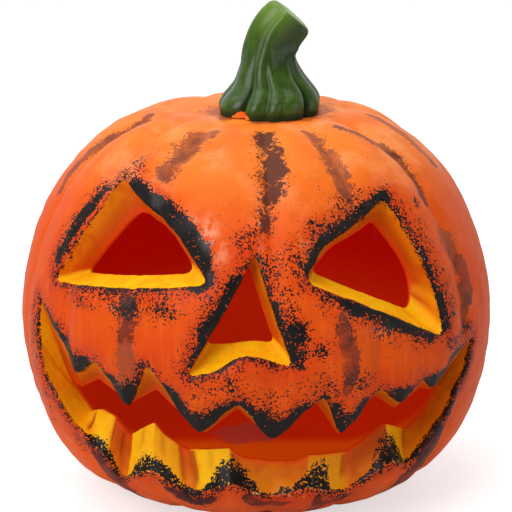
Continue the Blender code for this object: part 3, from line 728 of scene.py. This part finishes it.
def make_shell():
    """The shell as one closed mesh: skin, lining, the walls of the cuts, and the ends of both surfaces."""
    holes = [hole_outlines(*hole, seed) for hole, seed in ((LEFT_EYE, 11), (RIGHT_EYE, 12), (NOSE, 13))]
    mouth_skin, mouth_lining, mouth_place = mouth_outlines()
    skin_outlines, lining_outlines = zip(*holes, (mouth_skin, mouth_lining))
    places = (None, None, None, mouth_place)

    skin, faces, starts, index, skin_marks = make_skin(skin_outlines)
    lining, lining_faces, inner_starts, inner_index, lining_marks = make_lining(lining_outlines)
    shift = len(skin)
    faces += [part + shift for part in lining_faces]
    points, marks = [skin, lining], [skin_marks, lining_marks]
    total = len(skin) + len(lining)

    for number, (start, inner_start) in enumerate(zip(starts, inner_starts)):
        count = len(skin_outlines[number])
        edge, inner_edge = slice(start, start + count), slice(inner_start, inner_start + count)
        wall, wall_marks = make_wall(
            skin[edge], lining[inner_edge], skin_marks["soot"][edge], number, places[number]
        )
        skin_marks["lift"][edge] = lining_marks["lift"][inner_edge] = wall_marks["lift"][:count]
        faces.append(row_faces(np.concatenate([
            [start + np.arange(count)],
            total + np.arange(len(wall)).reshape(-1, count),
            [shift + inner_start + np.arange(count)],
        ])))
        points.append(wall)
        marks.append(wall_marks)
        total += len(wall)

    outside, inside = {"rim": FAR_OUTSIDE}, {"rim": FAR_INSIDE, "depth": 2.0}
    hollow_floor, hollow_roof = (lining[inner_index[row], 2].mean() for row in (0, -1))
    for ring, height, given, flip in (
        (index[0], 0.0, outside, True), (index[-1], SEAT_HEIGHT, outside, False),
        (inner_index[0] + shift, hollow_floor, inside, False),
        (inner_index[-1] + shift, hollow_roof, inside, True),
    ):
        edge = np.concatenate([skin, lining])[ring]
        levels = [np.where((True, True, False), edge * share, height) for share in (0.8, 0.45)]
        new_points, new_faces = closed_end(ring, levels, (0.0, 0.0, height), total, flip)
        points.append(new_points)
        faces += new_faces
        marks.append(marks_of(len(new_points), **given))
        total += len(new_points)

    shell = mesh_piece("painted_shell", np.concatenate(points), faces)
    every = {name: np.concatenate([part[name] for part in marks]) for name in skin_marks}
    return finish_piece(shell, every, 52.0)


# ---- the stem ----------------------------------------------------------------------------------

STEM_FOOT = (4.4, -1.0)
STEM_GAP = 0.3  # between the seat and the stem
# The stem's path: out along X, up, radius
STEM_PATH = (
    (0.0, 0.0, 17.9), (0.15, 2.6, 18.2), (0.7, 5.3, 17.5), (1.1, 7.6, 15.9), (1.0, 10.8, 13.4),
    (0.4, 13.5, 11.8), (0.1, 16.3, 10.8), (0.1, 18.5, 10.4), (0.7, 22.3, 10.2), (2.7, 27.1, 10.2),
    (5.7, 31.1, 9.9), (7.4, 33.0, 9.3), (8.1, 33.7, 8.3), (8.35, 33.9, 7.3),
)
# The grooves between the stem's lobes: bearing about its axis, depth at the foot, depth at the top
STEM_GROOVES = (
    (-166.0, 1.8, 0.1), (-130.0, 2.0, 0.1), (-92.0, 1.8, 0.1), (-34.0, 2.3, 0.7), (-4.0, 1.1, 0.0),
    (16.0, 0.7, 0.0), (50.0, 2.2, 0.15), (86.0, 1.8, 0.1), (122.0, 2.0, 0.1), (158.0, 1.8, 0.1),
)
STEM_AROUND, STEM_LEVELS = 220, 130
STEM_CORNER = -11.0  # bearing of the front corner of the upper part's five flat faces
# The levels that close the stem's ends: share of the end ring, how far it sinks in at the top
STEM_ENDS = ((0.93, 0.05), (0.7, 0.25), (0.35, 0.35))


def prism_flats(degrees):
    """How far the faces of a five-sided prism come in from its corners' radius, its corners blunted by a
    mean over 16 degrees: 1 - cos 36 / cos(angle off the face's middle)."""
    blurs = np.array([-8.0, -4.0, 0.0, 4.0, 8.0])[:, None]
    off_middle = np.radians((degrees[None, :] - STEM_CORNER + blurs) % 72.0 - 36.0)
    return (1.0 - math.cos(math.radians(36.0)) / np.cos(off_middle)).mean(axis=0)


def make_stem():
    """The stem: rings swept along a path that leans over to +X, each square to the path. A ring's radius
    is the path's, less the grooves between its lobes, deepest at the foot, and less the flats of a
    five-sided prism, which come in towards the top."""
    path = smooth_curve(STEM_PATH, STEM_LEVELS)
    way = np.gradient(path[:, :2], axis=0)
    lean = np.arctan2(way[:, 0], way[:, 1])
    lean[-14:] = lean[-14]
    lean *= smooth_step(14.0, 27.0, path[:, 1])
    turn = np.linspace(-np.pi, np.pi, STEM_AROUND, endpoint=False)
    degrees = np.degrees(turn)
    out, up, path_radius = path.T[:, :, None]
    flare = np.clip((path_radius - 10.4) / 7.6, 0.0, 1.0)
    rise = np.clip(up / up[-1], 0.0, 1.0)
    upward = smooth_step(0.45, 0.75, rise)

    grooves = np.array(STEM_GROOVES)
    before, step, _ = between_grooves(degrees, grooves[:, 0])
    depths = grooves[before] * (1.0 - step)[:, None] + np.roll(grooves, -1, axis=0)[before] * step[:, None]
    at_foot, at_top = depths[None, :, 1], depths[None, :, 2]
    hollow = 1.0 - np.sin(np.pi * step)[None, :] ** 0.85
    shallow = 1.0 - np.sin(np.pi * step)[None, :] ** 2.0
    lobes = hollow * (0.45 * (1.0 - upward) + flare**0.7) * at_foot + shallow * upward * at_top
    flats = path_radius * prism_flats(degrees)[None, :] * smooth_step(0.4, 0.72, rise)
    round_bar = np.broadcast_arrays(10.0 * np.sin(turn), 10.0 * np.cos(turn), 36.0 * rise)
    radius = path_radius - lobes - flats + 0.12 * lumps(np.stack(round_bar, axis=-1), 9.0, 51)

    seat = SEAT_HEIGHT + STEM_GAP
    side, toward = radius * np.sin(turn), radius * np.cos(turn)
    rings = np.stack([
        STEM_FOOT[0] + out + side * np.cos(lean)[:, None],
        STEM_FOOT[1] - toward * (1.0 - 0.2 * smooth_step(0.6, 1.0, rise)),
        seat + up - side * np.sin(lean)[:, None] + 0.02 * toward * smooth_step(0.7, 1.0, rise),
    ], axis=-1)
    rings[:, :, 2] = np.maximum(rings[:, :, 2], seat)
    index = np.arange(rings[:, :, 0].size).reshape(STEM_LEVELS, STEM_AROUND)
    points, faces = [rings.reshape(-1, 3)], [row_faces(index)]
    total = index.size
    axis = np.array([math.sin(lean[-1]), 0.0, math.cos(lean[-1])])
    for row, inward, flip in ((0, 0.0 * axis, True), (-1, axis, False)):
        centre = rings[row].mean(axis=0)
        levels = [centre + (rings[row] - centre) * share - inward * sink for share, sink in STEM_ENDS]
        new_points, new_faces = closed_end(index[row], levels, levels[-1].mean(axis=0), total, flip)
        points.append(new_points)
        faces += new_faces
        total += len(new_points)
    stem = mesh_piece("glossy_stem", np.concatenate(points), faces)

    lap = 1.3 - ((degrees[None, :] + 36.0) / 15.0) ** 2 - (up / 2.3) ** 2
    # Painted shade: the right side, away from the light, is marked to be painted darker.
    right_side = np.exp(-(((degrees[None, :] - 42.0) / 48.0) ** 2))
    marks = {  # over the rings, under the foot, over the top
        "rise": (rise + 0.0 * turn, 0.0, 1.1),
        # Painted shade in the grooves near the foot.
        "dip": (hollow * (0.35 + flare) * (1.0 - 0.8 * upward) * at_foot / 2.0, 0.0, 0.0),
        "lap": (np.clip(lap, -1.0, 1.0), -1.0, -1.0),
        "shade": (right_side * smooth_step(0.35, 0.6, rise), 0.0, 0.0),
    }
    ends = [len(part) for part in points[1:]]
    marks = {
        name: np.concatenate([sides.ravel(), np.repeat((under, over), ends)])
        for name, (sides, under, over) in marks.items()
    }
    return finish_piece(stem, marks, 50.0)


# ---- materials ---------------------------------------------------------------------------------
#
# Lengths in materials are in metres, and a noise's scale is in waves per metre.


def add(tree, kind, inputs=None, **settings):
    """A node with its settings; each input is a value, or another node's output to link from."""
    new = tree.nodes.new(kind)
    for name, value in settings.items():
        setattr(new, name, value)
    for key, value in (inputs or {}).items():
        if isinstance(value, bpy.types.NodeSocket):
            tree.links.new(value, new.inputs[key])
        else:
            new.inputs[key].default_value = value
    return new


def math_node(tree, operation, *values, **settings):
    """The output of a Math node."""
    return add(tree, "ShaderNodeMath", dict(enumerate(values)), operation=operation, **settings).outputs[0]


def plus(tree, first, second):
    """The sum of two values."""
    return math_node(tree, "ADD", first, second)


def times(tree, first, second):
    """The product of two values."""
    return math_node(tree, "MULTIPLY", first, second)


def without(tree, mask):
    """One less a mask."""
    return math_node(tree, "SUBTRACT", 1.0, mask)


def swung(tree, value, texture, swing):
    """A value plus a noise that swings to both sides of zero."""
    return plus(tree, value, math_node(tree, "MULTIPLY_ADD", texture, swing, -0.5 * swing))


def blend(tree, share, first, second):
    """The output of a colour Mix node."""
    return add(tree, "ShaderNodeMix", {0: share, 6: first, 7: second}, data_type="RGBA").outputs[2]


def layered(tree, base, *layers):
    """A colour with others laid over it in turn, each (share, colour)."""
    for share, colour in layers:
        base = blend(tree, share, base, colour)
    return base


def between(tree, value, low, high, start=0.0, end=1.0):
    """The output of a smooth Map Range from low..high to start..end."""
    return add(
        tree, "ShaderNodeMapRange", {0: value, 1: low, 2: high, 3: start, 4: end},
        interpolation_type="SMOOTHSTEP",
    ).outputs[0]


def noise(tree, place, scale, detail=3.0, rough=0.6, distortion=0.0):
    """The value output of a Noise Texture."""
    return add(
        tree, "ShaderNodeTexNoise",
        {"Vector": place, "Scale": scale, "Detail": detail, "Roughness": rough, "Distortion": distortion},
    ).outputs[0]


def reading(tree, name):
    """The value of a mark."""
    return add(tree, "ShaderNodeAttribute", attribute_name=name).outputs["Fac"]


def distance_to(tree, place, spot):
    """Distance from a spot."""
    return add(tree, "ShaderNodeVectorMath", {0: place, 1: spot}, operation="DISTANCE").outputs["Value"]


def stretched(tree, place, scale):
    """Object coordinates, scaled differently along each axis."""
    return add(tree, "ShaderNodeMapping", {"Vector": place, "Scale": scale}).outputs[0]


def rgb(red, green, blue):
    """A linear colour from 0 to 255 display values."""
    return tuple((c / 255.0 / 12.92) if c <= 10 else ((c / 255.0 + 0.055) / 1.055) ** 2.4
                 for c in (red, green, blue)) + (1.0,)


def linear(red, green, blue):
    """A colour given in linear values, for light that a surface gives off and for roughness."""
    return (red, green, blue, 1.0)


def object_place(tree):
    """Object coordinates."""
    return add(tree, "ShaderNodeTexCoord").outputs["Object"]


def new_material(name, **constants):
    """A material, its node tree, and its shader with some inputs set (_ for a blank in a name)."""
    material = bpy.data.materials.new(name)
    material.use_nodes = True
    tree = material.node_tree
    shader = tree.nodes["Principled BSDF"]
    for key, value in constants.items():
        shader.inputs[key.replace("_", " ")].default_value = value
    return material, tree, shader


def raise_bumps(tree, shader, strength, distance, *reliefs):
    """Bumps from the sum of some reliefs, each (value, weight)."""
    height = times(tree, *reliefs[0])
    for value, weight in reliefs[1:]:
        height = plus(tree, height, times(tree, value, weight))
    bump = add(tree, "ShaderNodeBump", {"Strength": strength, "Distance": distance, "Height": height})
    tree.links.new(bump.outputs[0], shader.inputs["Normal"])


def sponge_group():
    """Sponged paint: turns a density into a mask of ragged specks that join up as the density grows. The
    mask is 1 where the density and three sizes of noise add up to over one half."""
    tree = bpy.data.node_groups.new("sponged paint", "ShaderNodeTree")
    for name, way, kind in (("Place", "INPUT", "Vector"), ("Density", "INPUT", "Float"),
                            ("Mask", "OUTPUT", "Float"), ("Patchy", "OUTPUT", "Float")):
        tree.interface.new_socket(name, in_out=way, socket_type="NodeSocket" + kind)
    enter = tree.nodes.new("NodeGroupInput")
    leave = tree.nodes.new("NodeGroupOutput")
    place, level = enter.outputs["Place"], enter.outputs["Density"]
    middle = noise(tree, place, 660.0, 2.0, 0.6, 0.2)
    for texture, swing in ((noise(tree, place, 1600.0, 1.0, 0.5), 3.2), (middle, 1.8),
                           (noise(tree, place, 150.0, 3.0, 0.6), 1.3)):
        level = swung(tree, level, texture, swing)
    tree.links.new(between(tree, level, 0.46, 0.54), leave.inputs["Mask"])
    tree.links.new(middle, leave.inputs["Patchy"])
    return tree


def sponged(tree, sponge, place, density):
    """The mask of sponged paint, and the noise that makes it patchy."""
    return add(tree, "ShaderNodeGroup", {"Place": place, "Density": density}, node_tree=sponge).outputs


def foam_orange(tree, place, height, cloudy, brushed, pores):
    """The skin's orange: lighter on top, a painted highlight where the top light falls, and paler and
    pinker near the base, a painted reflection of the pale floor; redder near the cuts, cloudy, brushed up
    and down, with a paler painted sheen on top, and the pale patches, partly paint brushed thinly on and
    partly painted sheen."""
    near_cut = between(tree, reading(tree, "rim"), 13.0, 0.5)
    top_sheen = between(tree, noise(tree, place, 60.0, 4.0, 0.6), 0.46, 0.66, 0.0, 0.45)
    mottle = between(tree, noise(tree, place, 330.0, 3.0, 0.65), 0.42, 0.58)
    return layered(
        tree, rgb(226, 82, 2),
        # Painted highlight: lighter on top, where the top light falls.
        (between(tree, height, 0.106, 0.134), rgb(242, 124, 32)),
        # Painted reflection of the pale floor: paler and pinker near the base.
        (between(tree, height, 0.05, 0.005), rgb(255, 104, 32)),
        (times(tree, near_cut, between(tree, cloudy, 0.3, 0.6, 0.35, 0.8)), rgb(204, 54, 8)),
        (between(tree, cloudy, 0.45, 0.75, 0.0, 0.5), rgb(220, 62, 4)),
        (between(tree, brushed, 0.45, 0.75, 0.0, 0.22), rgb(250, 122, 34)),
        (between(tree, pores, 0.62, 0.75, 0.0, 0.25), rgb(190, 50, 10)),
        # Painted sheen: pale mottling on top, where the ribs catch the light.
        (times(tree, between(tree, height, 0.104, 0.13), top_sheen), rgb(250, 162, 104)),
        # Pale patches: partly paint brushed thinly on, partly painted sheen where the skin faces the light.
        (times(tree, reading(tree, "pale"), mottle), rgb(246, 178, 136)),
    )


def foam_brown(tree, place, orange, sponge):
    """The orange with brown over it: a darker brown ring round the stem, fresh orange in front of it, and
    the strokes, torn at their edges and strewn with specks."""
    ragged = noise(tree, place, 230.0, 5.0, 0.75, 0.5)
    fresh = swung(tree, between(tree, distance_to(tree, place, FRESH_SPOT), 0.008, 0.001), ragged, 2.4)
    fresh = between(tree, fresh, 0.4, 0.6)
    # A darker brown ring round the stem.
    ring = between(tree, distance_to(tree, place, RING_MIDDLE), 0.034, 0.019, -0.6, 0.62)
    brown_ring = between(tree, swung(tree, ring, ragged, 3.0), 0.3, 0.7, 0.0, 0.7)

    stroke, tone = reading(tree, "stroke"), reading(tree, "tone")
    torn = swung(tree, stroke, ragged, 2.6)
    torn = swung(tree, torn, noise(tree, place, 800.0, 2.0, 0.6), 1.2)
    torn = swung(tree, torn, noise(tree, place, 95.0, 2.0, 0.5), 2.0)
    few = math_node(tree, "MULTIPLY_ADD", stroke, 0.7, -0.12)
    strewn, _ = sponged(tree, sponge, stretched(tree, place, (0.9, 0.9, 0.9)), few)
    thickness = math_node(
        tree, "MAXIMUM", between(tree, noise(tree, place, 170.0, 3.0, 0.6), 0.35, 0.65, 0.5, 0.92),
        between(tree, tone, 0.8, 1.0, 0.0, 0.9),
    )
    brushed_on = times(tree, between(tree, torn, 0.40, 0.62), thickness)
    brown = layered(
        tree, rgb(156, 78, 50),
        (between(tree, tone, 0.5, 0.85), rgb(52, 26, 26)),
        (between(tree, ragged, 0.3, 0.75, 0.0, 0.5), rgb(120, 60, 50)),
        (between(tree, tone, 0.85, 1.0, 0.0, 0.7), rgb(50, 26, 28)),
    )
    return layered(
        tree, orange,
        (times(tree, brown_ring, without(tree, fresh)), rgb(140, 62, 40)),
        (times(tree, fresh, 0.7), rgb(255, 150, 50)),
        (math_node(tree, "MAXIMUM", brushed_on, times(tree, strewn, 0.75)), brown),
    )


def cut_yellow(tree, depth, grain, front_light_pool, floor_sheen):
    """The cut walls and the hollow's red. The walls are yellow where they face up and orange where they
    face down, painted light, with painted shade deeper in the cut and in the kerfs, and a painted pool of
    light and a painted reflection on the hollow's floor.
    """
    # Painted light: how much a wall is painted yellow follows how much it faces the light.
    sunlit = between(tree, swung(tree, reading(tree, "lift"), grain, 0.36), -0.05, 0.5)
    yellow = blend(tree, between(tree, grain, 0.35, 0.7), rgb(250, 190, 10), rgb(250, 168, 6))
    orange = blend(tree, between(tree, grain, 0.4, 0.7), rgb(226, 122, 4), rgb(206, 88, 2))
    # Painted shade: the orange darkens deeper into the cut.
    orange = blend(tree, between(tree, depth, 0.1, 0.8), orange, rgb(196, 66, 2))
    inward = plus(tree, depth, times(tree, sunlit, -0.22))
    return layered(
        tree, orange,
        (sunlit, yellow),
        (between(tree, inward, 0.72, 1.12), rgb(232, 34, 4)),
        # Painted shade in the kerfs and on the lower lip's shaded facets.
        (times(tree, reading(tree, "tone"), between(tree, depth, 1.0, 0.98)), rgb(168, 50, 2)),
        # Painted pool of light on the hollow's floor near the front.
        (times(tree, front_light_pool, between(tree, depth, 1.0, 1.3)), rgb(240, 96, 4)),
        # Painted reflection on the hollow's floor.
        (floor_sheen, rgb(180, 84, 66)),
    )


def foam_paint(sponge):
    """The shell's paint: the skin's orange and brown, the cut walls and the hollow, sponged black over
    all of it, and a faint painted glow over the walls and the hollow that stands in for light bouncing
    inside."""
    material, tree, shader = new_material(
        "painted foam", Emission_Strength=1.0, Coat_Roughness=0.34, Specular_IOR_Level=0.13
    )
    place = object_place(tree)
    _, toward, height = add(tree, "ShaderNodeSeparateXYZ", {0: place}).outputs
    rim, depth = reading(tree, "rim"), reading(tree, "depth")
    cloudy = noise(tree, place, 45.0, 3.0, 0.55)
    brushed = noise(tree, stretched(tree, place, (420.0, 420.0, 45.0)), 1.0, 3.0, 0.6)
    pores = noise(tree, place, 1300.0, 2.0, 0.6)
    grain = noise(tree, place, 150.0, 4.0, 0.6, 0.8)
    # Painted pool of light on the hollow's floor near the front, where light falls in through the mouth; it
    # also glows.
    front_light_pool = times(tree, between(tree, toward, 0.004, -0.006), between(tree, height, 0.03, 0.018))
    # Painted reflection: a pale pinkish patch on the hollow's floor, which also glows.
    floor_sheen = between(tree, distance_to(tree, place, FLOOR_SHEEN_SPOT), 0.018, 0.006)
    floor_sheen = swung(tree, floor_sheen, noise(tree, place, 110.0, 4.0, 0.65), 2.4)
    floor_sheen = times(tree, between(tree, floor_sheen, 0.3, 0.8, 0.0, 0.75), between(tree, depth, 1.0, 1.3))

    edge = noise(tree, place, 700.0, 2.0, 0.6)
    on_wall = between(tree, swung(tree, rim, edge, 1.2), 0.15, -0.35)
    black, patchy = sponged(tree, sponge, place, reading(tree, "soot"))
    near_rim = times(tree, between(tree, rim, 1.0, 0.3), between(tree, rim, -1.2, -0.4))
    flecks = between(tree, noise(tree, place, 620.0, 3.0, 0.7), 0.64, 0.69)
    flecks = times(tree, flecks, between(tree, cloudy, 0.48, 0.6))
    colour = layered(
        tree, foam_brown(tree, place, foam_orange(tree, place, height, cloudy, brushed, pores), sponge),
        (on_wall, cut_yellow(tree, depth, grain, front_light_pool, floor_sheen)),
        (black, blend(tree, between(tree, patchy, 0.4, 0.65), rgb(8, 6, 6), rgb(20, 14, 13))),
        (times(tree, near_rim, flecks), rgb(236, 206, 160)),
    )
    # Painted light: a faint glow over the walls and the hollow where no black covers them, red in the
    # hollow, brighter low down, near the front and on the pinkish floor patch, and orange on the walls.
    painted_glow = layered(
        tree, linear(0.05, 0.0007, 0.0001),
        (between(tree, height, 0.07, 0.045), linear(0.08, 0.0075, 0.0004)),
        (front_light_pool, linear(0.15, 0.027, 0.0004)),
        (floor_sheen, linear(0.075, 0.014, 0.010)),
        (between(tree, depth, 1.25, 1.0), linear(0.05, 0.018, 0.0004)),
    )
    painted_glow = blend(tree, times(tree, on_wall, without(tree, black)), linear(0.0, 0.0, 0.0), painted_glow)
    rough = layered(
        tree, linear(0.46, 0.46, 0.46), (black, linear(0.5, 0.5, 0.5)), (on_wall, linear(0.6, 0.6, 0.6))
    )
    gloss = math_node(tree, "MULTIPLY_ADD", reading(tree, "pale"), 1.6, 0.22)
    tree.links.new(colour, shader.inputs["Base Color"])
    tree.links.new(painted_glow, shader.inputs["Emission Color"])
    tree.links.new(rough, shader.inputs["Roughness"])
    coat = math_node(tree, "MULTIPLY", black, gloss, use_clamp=True)
    tree.links.new(coat, shader.inputs["Coat Weight"])
    cut_grain = times(tree, on_wall, grain)
    raise_bumps(tree, shader, 0.5, 0.0005, (pores, 0.25), (brushed, 0.2), (black, 0.3), (cut_grain, 1.2))
    return material


def stem_gloss():
    """The stem's paint: glossy dark green, lighter and yellower towards its top as a painted highlight,
    with painted shade in its grooves, on its right side and along the foot's bottom edge, and a lick of the
    shell's orange over the foot."""
    material, tree, shader = new_material("stem gloss", Specular_IOR_Level=0.38)
    place = object_place(tree)
    rise = reading(tree, "rise")
    streaks = noise(tree, stretched(tree, place, (500.0, 500.0, 70.0)), 1.0, 3.0, 0.6)
    # Painted highlight: lighter and yellower towards the top, where the light falls.
    lit = swung(tree, rise, noise(tree, place, 120.0, 3.0, 0.6), 0.4)
    # Painted shade along the foot's bottom edge, where it meets the shell; it is rougher there too.
    low = between(tree, rise, 0.09, 0.02)
    lapped = swung(tree, reading(tree, "lap"), noise(tree, place, 300.0, 4.0, 0.7), 2.0)
    colour = layered(
        tree, rgb(44, 72, 16),
        (between(tree, streaks, 0.35, 0.7), rgb(60, 90, 24)),
        (between(tree, lit, 0.6, 1.0, 0.0, 0.75), rgb(104, 138, 34)),
        # Painted shade on the stem's right side, away from the light.
        (times(tree, reading(tree, "shade"), 0.9), rgb(30, 46, 8)),
        (between(tree, rise, 0.97, 1.03, 0.0, 0.6), rgb(136, 166, 58)),
        # Painted shade in the grooves between the lobes.
        (between(tree, reading(tree, "dip"), 0.3, 1.0, 0.0, 0.9), rgb(20, 38, 8)),
        (low, rgb(18, 48, 8)),
        (between(tree, lapped, 0.46, 0.54), rgb(250, 128, 36)),
    )
    tree.links.new(colour, shader.inputs["Base Color"])
    tree.links.new(math_node(tree, "MULTIPLY_ADD", low, 0.4, 0.27), shader.inputs["Roughness"])
    raise_bumps(tree, shader, 0.3, 0.0004, (streaks, 0.8), (noise(tree, place, 900.0, 2.0, 0.6), 0.25))
    return material


# ---- floor, light and camera -------------------------------------------------------------------


def plain_floor():
    """A pale matte floor that fills every view, a little brighter to the camera than it is lit."""
    size = 2000.0
    corners = np.array([(-size, -size, 0.0), (size, -size, 0.0), (size, size, 0.0), (-size, size, 0.0)])
    floor = mesh_piece("floor", corners, [np.array([[0, 1, 2, 3]])])
    material, tree, shader = new_material(
        "pale floor", Base_Color=(0.6, 0.6, 0.6, 1.0), Roughness=0.8, Emission_Color=(1.0, 1.0, 1.0, 1.0)
    )
    seen = add(tree, "ShaderNodeLightPath").outputs["Is Camera Ray"]
    tree.links.new(times(tree, seen, 0.62), shader.inputs["Emission Strength"])
    floor.data.materials.append(material)


def area_light(name, place, aim, size, power):
    """A square soft light at a place, turned to an aim, both in metres."""
    data = bpy.data.lights.new(name, "AREA")
    data.size, data.energy = size, power
    light = bpy.data.objects.new(name, data)
    bpy.context.scene.collection.objects.link(light)
    way = np.array(aim, float) - np.array(place, float)
    light.location = place
    level = math.hypot(way[0], way[1])
    light.rotation_euler = (math.atan2(level, -way[2]), 0.0, math.atan2(way[1], way[0]) - math.pi / 2)


def studio():
    """Soft studio light, white behind and dimmer in front."""
    world = bpy.data.worlds.new("pale surround")
    world.use_nodes = True
    tree = world.node_tree
    background = tree.nodes["Background"]
    background.inputs[0].default_value = (1.0, 1.0, 1.0, 1.0)
    way = add(tree, "ShaderNodeTexCoord").outputs["Generated"]
    backward = add(tree, "ShaderNodeSeparateXYZ", {0: way}).outputs[1]
    surround = between(tree, backward, -0.5, 0.6, 0.1, 0.9)
    seen = add(tree, "ShaderNodeLightPath").outputs["Is Camera Ray"]
    tree.links.new(math_node(tree, "MAXIMUM", seen, surround), background.inputs[1])
    bpy.context.scene.world = world
    bpy.context.scene.view_settings.view_transform = "Standard"
    area_light("key", (-0.55, -0.8, 0.6), (0.0, 0.0, 0.07), 0.7, 6.4)
    area_light("fill", (0.8, -0.7, 0.3), (0.0, 0.0, 0.07), 0.7, 1.8)
    area_light("top", (-0.15, -0.1, 0.9), (0.0, 0.0, 0.1), 0.8, 4.8)


def camera():
    """A camera in front of the face and a little above it, with a long lens."""
    data = bpy.data.cameras.new("camera")
    # Metres off the lantern's middle, tilt down, height aimed at, and metres seen across the view there
    away, tilt, aim_height, view_width = 0.8, math.radians(15.0), 0.0823, 0.18156
    data.sensor_width = 36.0
    data.lens = data.sensor_width * away / view_width
    data.clip_end = 20.0
    view = bpy.data.objects.new("camera", data)
    bpy.context.scene.collection.objects.link(view)
    view.location = (0.0, -away * math.cos(tilt), aim_height + away * math.sin(tilt))
    view.rotation_euler = (math.pi / 2 - tilt, 0.0, 0.0)
    bpy.context.scene.camera = view


shell = make_shell()
shell.data.materials.append(foam_paint(sponge_group()))
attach(shell, "root")
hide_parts("pumpkin_shell")

stem = make_stem()
stem.data.materials.append(stem_gloss())
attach(stem, "root")
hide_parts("stem")

plain_floor()
studio()
camera()

bpy.context.view_layer.update()
